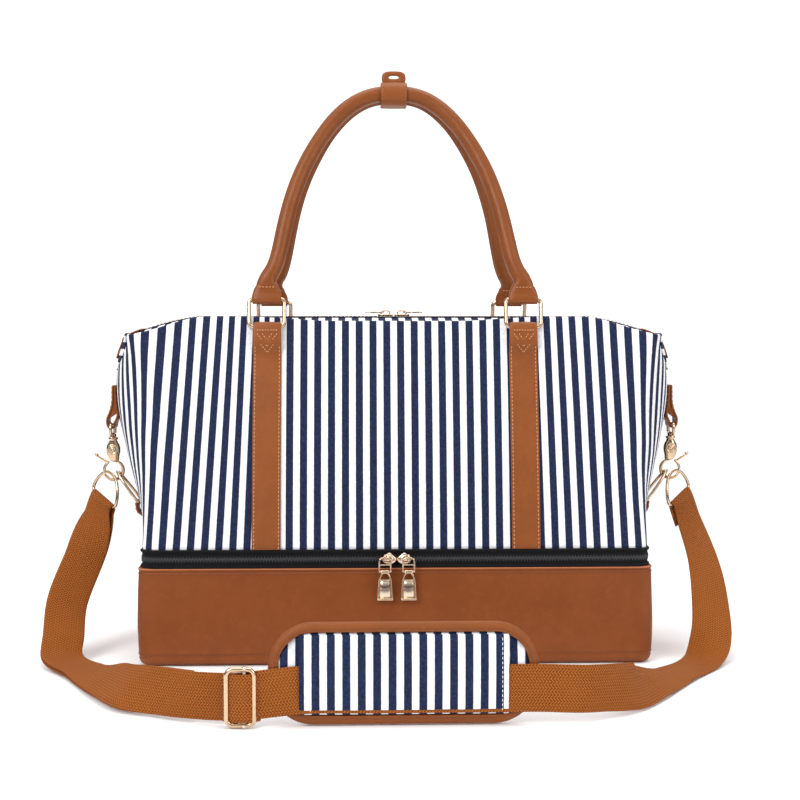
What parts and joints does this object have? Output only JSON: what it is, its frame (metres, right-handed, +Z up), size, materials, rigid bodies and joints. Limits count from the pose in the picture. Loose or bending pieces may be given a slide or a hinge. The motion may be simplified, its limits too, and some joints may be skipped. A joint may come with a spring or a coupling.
{
  "type": "weekender bag",
  "caption": "Striped canvas weekender bag with a leather shoe compartment, rolled handles on rings, side hooks and a padded webbing shoulder strap.",
  "frame": {"origin": "on the floor under the middle of the leather base", "axes": "+X to the right seen from the front, the front faces -Y, +Z up"},
  "size_m": [0.685, 0.4337, 0.5895],
  "materials": {
    "base_leather": "smooth tan leather, fine grain, satin",
    "strap_leather": "smooth tan leather with edge stitching",
    "striped_canvas": "woven canvas, navy and white vertical stripes",
    "zip_tape": "black woven zip tape with a nylon coil",
    "gold_metal": "polished champagne gold plating",
    "webbing": "herringbone tan cotton webbing",
    "lining": "plain grey lining",
    "board": "stiffener board"
  },
  "bodies": {
    "shoe_compartment": {"base_front_panel": "base_leather", "base_back_panel": "base_leather", "base_side_left": "base_leather", "base_side_right": "base_leather", "base_bottom": "base_leather", "base_stiffener_board": "board", "shoe_lining": "lining", "lower_zip_base_tape": "zip_tape", "rear_hinge_tape": "zip_tape", "shoulder_webbing": "webbing"},
    "main_compartment": {"upper_front_panel": "striped_canvas", "upper_back_panel": "striped_canvas", "gusset_left": "striped_canvas", "gusset_right": "striped_canvas", "top_panel_front": "striped_canvas", "top_panel_back": "striped_canvas", "top_zip_front_tape": "zip_tape", "top_zip_back_tape": "zip_tape", "divider_floor": "lining", "main_lining": "lining", "lower_zip_upper_tape": "zip_tape", "handle_strap_front_left": "strap_leather", "handle_strap_front_right": "strap_leather", "handle_strap_back_left": "strap_leather", "handle_strap_back_right": "strap_leather", "end_tab_left": "strap_leather", "end_tab_right": "strap_leather", "lower_tab_left": "strap_leather", "lower_tab_right": "strap_leather"},
    "front_rings": {"handle_ring_front_left": "gold_metal", "handle_ring_front_right": "gold_metal"},
    "front_handle": {"handle_front": "strap_leather", "handle_wrap": "strap_leather"},
    "back_rings": {"handle_ring_back_left": "gold_metal", "handle_ring_back_right": "gold_metal"},
    "back_handle": {"handle_back": "strap_leather"},
    "top_slider_left": {"top_zip_left_slider": "gold_metal"},
    "top_pull_left": {"top_zip_left_pull": "gold_metal"},
    "lower_slider_left": {"lower_zip_left_slider": "gold_metal"},
    "lower_link_left": {"lower_zip_left_link": "gold_metal"},
    "lower_pull_left": {"lower_zip_left_tab": "gold_metal"},
    "swivel_eye_left": {"swivel_eye_left": "gold_metal"},
    "snap_left": {"snap_body_left": "gold_metal"},
    "gate_left": {"snap_gate_left": "gold_metal"},
    "bag_ring_left": {"bag_d_ring_left": "gold_metal"},
    "strap_ring_left": {"strap_d_ring_left": "gold_metal"},
    "top_slider_right": {"top_zip_right_slider": "gold_metal"},
    "top_pull_right": {"top_zip_right_pull": "gold_metal"},
    "lower_slider_right": {"lower_zip_right_slider": "gold_metal"},
    "lower_link_right": {"lower_zip_right_link": "gold_metal"},
    "lower_pull_right": {"lower_zip_right_tab": "gold_metal"},
    "swivel_eye_right": {"swivel_eye_right": "gold_metal"},
    "snap_right": {"snap_body_right": "gold_metal"},
    "gate_right": {"snap_gate_right": "gold_metal"},
    "bag_ring_right": {"bag_d_ring_right": "gold_metal"},
    "strap_ring_right": {"strap_d_ring_right": "gold_metal"},
    "adjuster": {"strap_adjuster": "gold_metal"},
    "pad": {"strap_pad": "striped_canvas", "pad_sleeve": "striped_canvas"}
  },
  "joints": [
    {"name": "shoe_compartment_open", "type": "hinge", "parent": "shoe_compartment", "child": "main_compartment", "pos_m": [0, 0.112, 0.104], "axis": [-1, 0, 0], "range_deg": [0, 65], "deforming": ["shoulder_webbing"]},
    {"name": "front_rings_swing", "type": "hinge", "parent": "main_compartment", "child": "front_rings", "pos_m": [0, -0.07139, 0.32789], "axis": [1, 0, 0], "range_deg": [0, 125]},
    {"name": "front_handle_swing", "type": "hinge", "parent": "front_rings", "child": "front_handle", "pos_m": [0, -0.06489, 0.3559], "axis": [1, 0, 0], "range_deg": [0, 60]},
    {"name": "back_rings_swing", "type": "hinge", "parent": "main_compartment", "child": "back_rings", "pos_m": [0, 0.07139, 0.32789], "axis": [-1, 0, 0], "range_deg": [0, 125]},
    {"name": "back_handle_swing", "type": "hinge", "parent": "back_rings", "child": "back_handle", "pos_m": [0, 0.06489, 0.3559], "axis": [-1, 0, 0], "range_deg": [0, 60]},
    {"name": "top_zip_left_travel", "type": "slide", "parent": "main_compartment", "child": "top_slider_left", "axis": [-1, 0, 0], "range_m": [0, 0.19]},
    {"name": "top_pull_left_flap", "type": "hinge", "parent": "top_slider_left", "child": "top_pull_left", "pos_m": [-0.0107, 0, 0.3434], "axis": [0, 1, 0], "range_deg": [0, 80]},
    {"name": "lower_zip_left_travel", "type": "slide", "parent": "shoe_compartment", "child": "lower_slider_left", "axis": [-1, 0, 0], "range_m": [0, 0.21]},
    {"name": "lower_link_left_flap", "type": "hinge", "parent": "lower_slider_left", "child": "lower_link_left", "pos_m": [-0.0114, -0.1172, 0.106], "axis": [-1, 0, 0], "range_deg": [0, 60]},
    {"name": "lower_pull_left_flap", "type": "hinge", "parent": "lower_link_left", "child": "lower_pull_left", "pos_m": [-0.0114, -0.1172, 0.0925], "axis": [-1, 0, 0], "range_deg": [0, 60]},
    {"name": "hook_left_swing", "type": "hinge", "parent": "main_compartment", "child": "swivel_eye_left", "pos_m": [-0.2908, 0, 0.2283], "axis": [0, 1, 0], "range_deg": [-3, 3]},
    {"name": "hook_left_swivel", "type": "hinge", "parent": "swivel_eye_left", "child": "snap_left", "pos_m": [-0.2903, 0, 0.205], "axis": [0, 0, 1], "range_deg": [-6, 6]},
    {"name": "gate_left_open", "type": "hinge", "parent": "snap_left", "child": "gate_left", "pos_m": [-0.2971, 0, 0.1871], "axis": [0, -1, 0], "range_deg": [0, 6]},
    {"name": "bag_ring_left_swing", "type": "hinge", "parent": "main_compartment", "child": "bag_ring_left", "pos_m": [-0.26282, 0, 0.14661], "axis": [0, -1, 0], "range_deg": [-5, 5]},
    {"name": "strap_ring_left_swing", "type": "hinge", "parent": "main_compartment", "child": "strap_ring_left", "pos_m": [-0.302, 0.0041, 0.1486], "axis": [0.5998, -0.7258, -0.3369], "range_deg": [-7, 7]},
    {"name": "top_zip_right_travel", "type": "slide", "parent": "main_compartment", "child": "top_slider_right", "axis": [1, 0, 0], "range_m": [0, 0.19]},
    {"name": "top_pull_right_flap", "type": "hinge", "parent": "top_slider_right", "child": "top_pull_right", "pos_m": [0.0107, 0, 0.3434], "axis": [0, -1, 0], "range_deg": [0, 80]},
    {"name": "lower_zip_right_travel", "type": "slide", "parent": "shoe_compartment", "child": "lower_slider_right", "axis": [1, 0, 0], "range_m": [0, 0.21]},
    {"name": "lower_link_right_flap", "type": "hinge", "parent": "lower_slider_right", "child": "lower_link_right", "pos_m": [0.0114, -0.1172, 0.106], "axis": [-1, 0, 0], "range_deg": [0, 60]},
    {"name": "lower_pull_right_flap", "type": "hinge", "parent": "lower_link_right", "child": "lower_pull_right", "pos_m": [0.0114, -0.1172, 0.0925], "axis": [-1, 0, 0], "range_deg": [0, 60]},
    {"name": "hook_right_swing", "type": "hinge", "parent": "main_compartment", "child": "swivel_eye_right", "pos_m": [0.2908, 0, 0.2283], "axis": [0, -1, 0], "range_deg": [-3, 3]},
    {"name": "hook_right_swivel", "type": "hinge", "parent": "swivel_eye_right", "child": "snap_right", "pos_m": [0.2903, 0, 0.205], "axis": [0, 0, 1], "range_deg": [-6, 6]},
    {"name": "gate_right_open", "type": "hinge", "parent": "snap_right", "child": "gate_right", "pos_m": [0.2971, 0, 0.1871], "axis": [0, 1, 0], "range_deg": [0, 6]},
    {"name": "bag_ring_right_swing", "type": "hinge", "parent": "main_compartment", "child": "bag_ring_right", "pos_m": [0.26282, 0, 0.14661], "axis": [0, 1, 0], "range_deg": [-5, 5]},
    {"name": "strap_ring_right_swing", "type": "hinge", "parent": "main_compartment", "child": "strap_ring_right", "pos_m": [0.302, 0.0041, 0.1486], "axis": [0.5998, 0.7258, 0.3369], "range_deg": [-7, 7]},
    {"name": "adjuster_travel", "type": "slide", "parent": "shoe_compartment", "child": "adjuster", "axis": [-1, 0, 0], "range_m": [0, 0.02]},
    {"name": "pad_travel", "type": "slide", "parent": "shoe_compartment", "child": "pad", "axis": [1, 0, 0], "range_m": [0, 0.03]}
  ],
  "couplings": [
    {"joint": "bag_ring_left_swing", "follows": "hook_left_swing", "ratio": 1.55},
    {"joint": "strap_ring_left_swing", "follows": "hook_left_swing", "ratio": 2.1},
    {"joint": "bag_ring_right_swing", "follows": "hook_right_swing", "ratio": 1.55},
    {"joint": "strap_ring_right_swing", "follows": "hook_right_swing", "ratio": 2.1}
  ]
}
